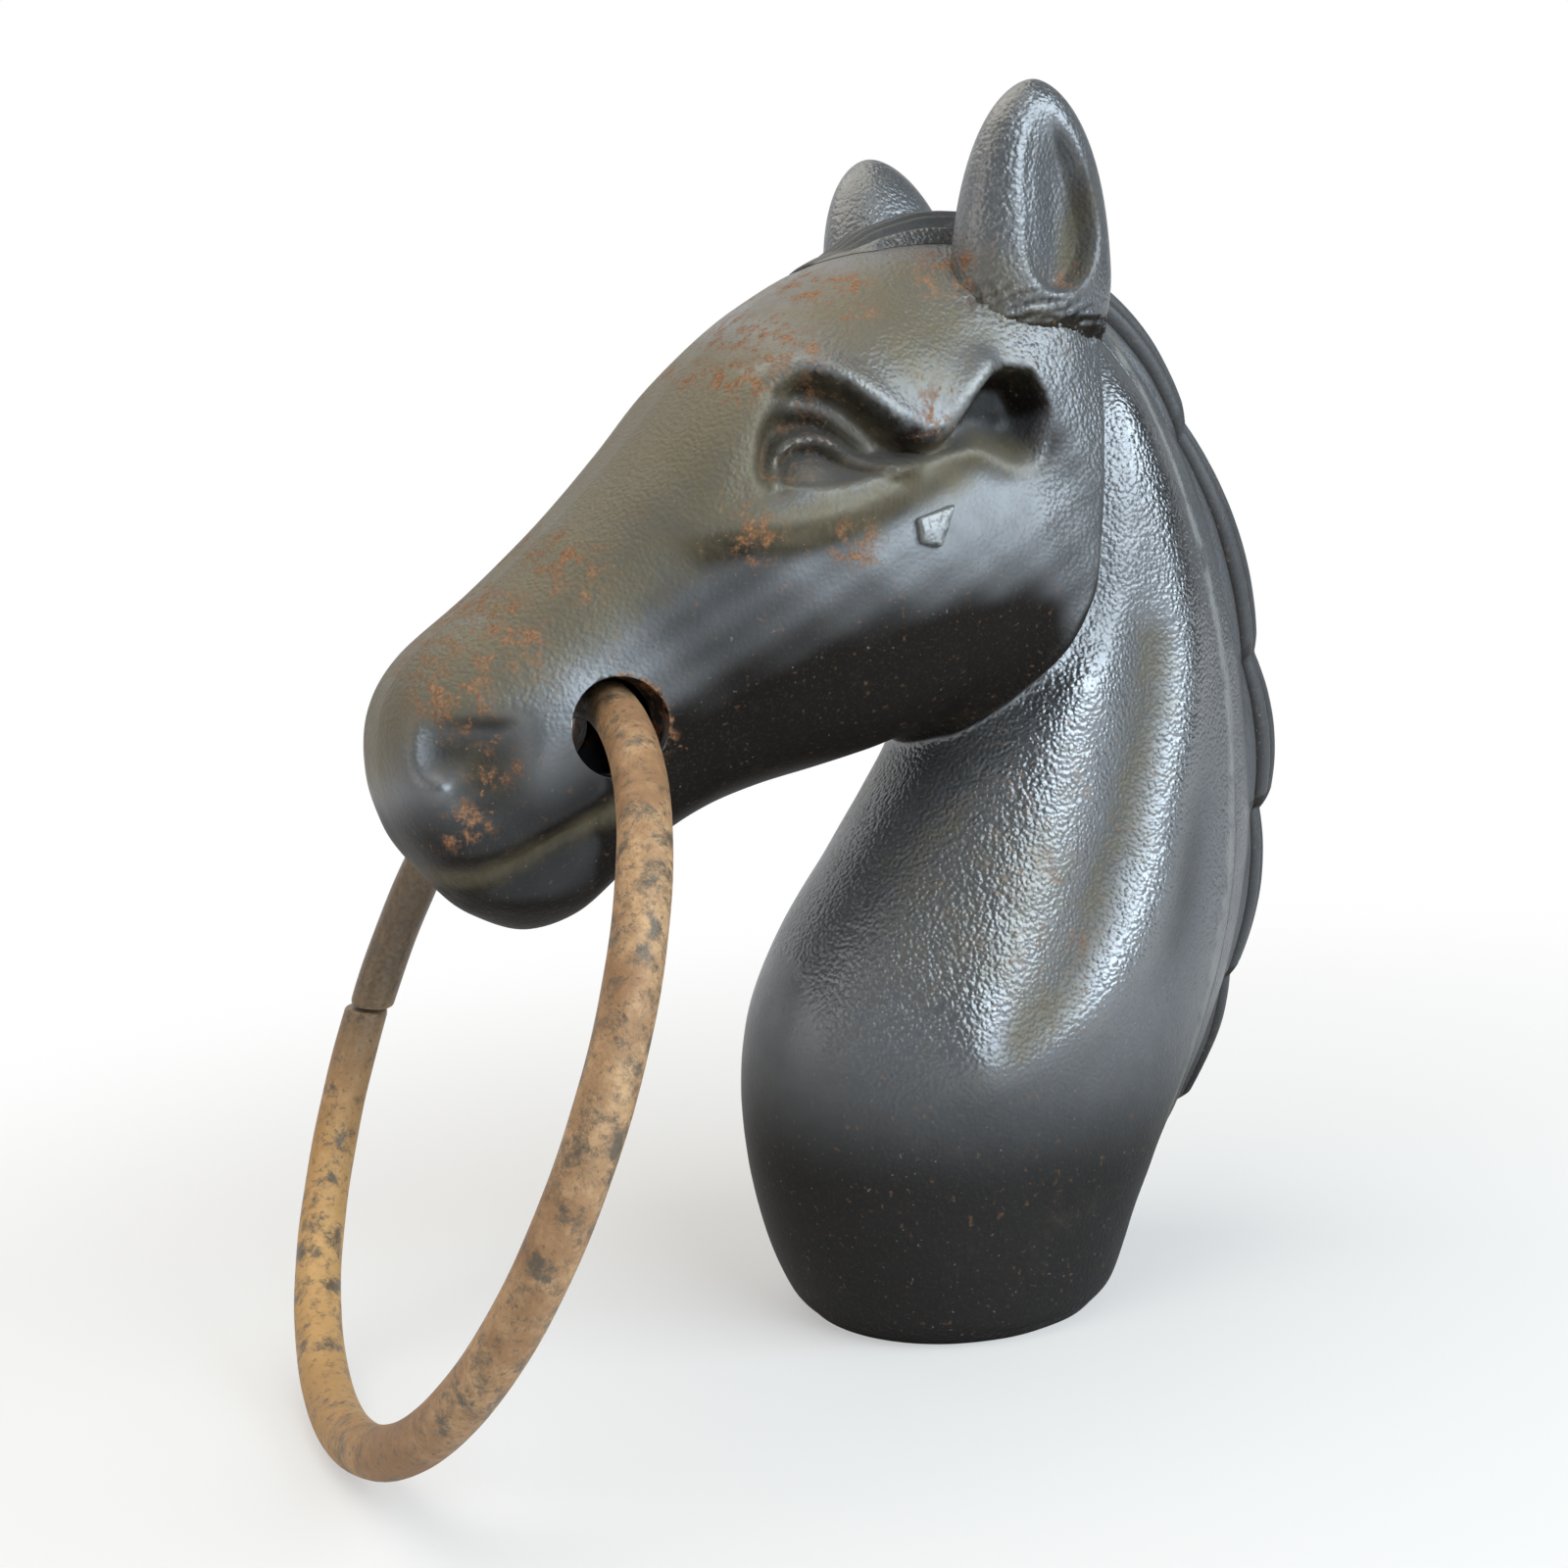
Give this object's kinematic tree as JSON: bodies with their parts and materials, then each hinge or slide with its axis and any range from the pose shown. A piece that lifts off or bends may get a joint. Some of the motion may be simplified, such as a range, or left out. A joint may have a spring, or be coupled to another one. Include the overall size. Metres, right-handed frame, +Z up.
{
  "type": "hitching post head",
  "caption": "Cast iron horse head and neck that drops onto a round hitching post, with a loose bar ring through the muzzle for tying a rein or lead.",
  "frame": {"origin": "centre of the post socket's mouth, in the plane of the neck's foot", "axes": "+Z up out of the post, +X towards the muzzle, +Y to the horse's left"},
  "size_m": [0.2265, 0.1524, 0.2427],
  "materials": {
    "iron": "worn satin black paint over sand-cast iron, rust freckles",
    "ring_bar": "tan and brown rust with dark patches",
    "chaplet": "worn, slightly bright"
  },
  "bodies": {
    "head": {"head_casting": "iron", "mane": "iron", "ear_left": "iron", "ear_right": "iron", "chaplet_left": "chaplet", "chaplet_right": "chaplet"},
    "ring": {"ring": "ring_bar"}
  },
  "joints": [
    {"name": "ring_swing", "type": "hinge", "parent": "head", "child": "ring", "pos_m": [0.07275, 0, 0.1314], "axis": [0, -1, 0], "range_deg": [-40, 190]}
  ]
}
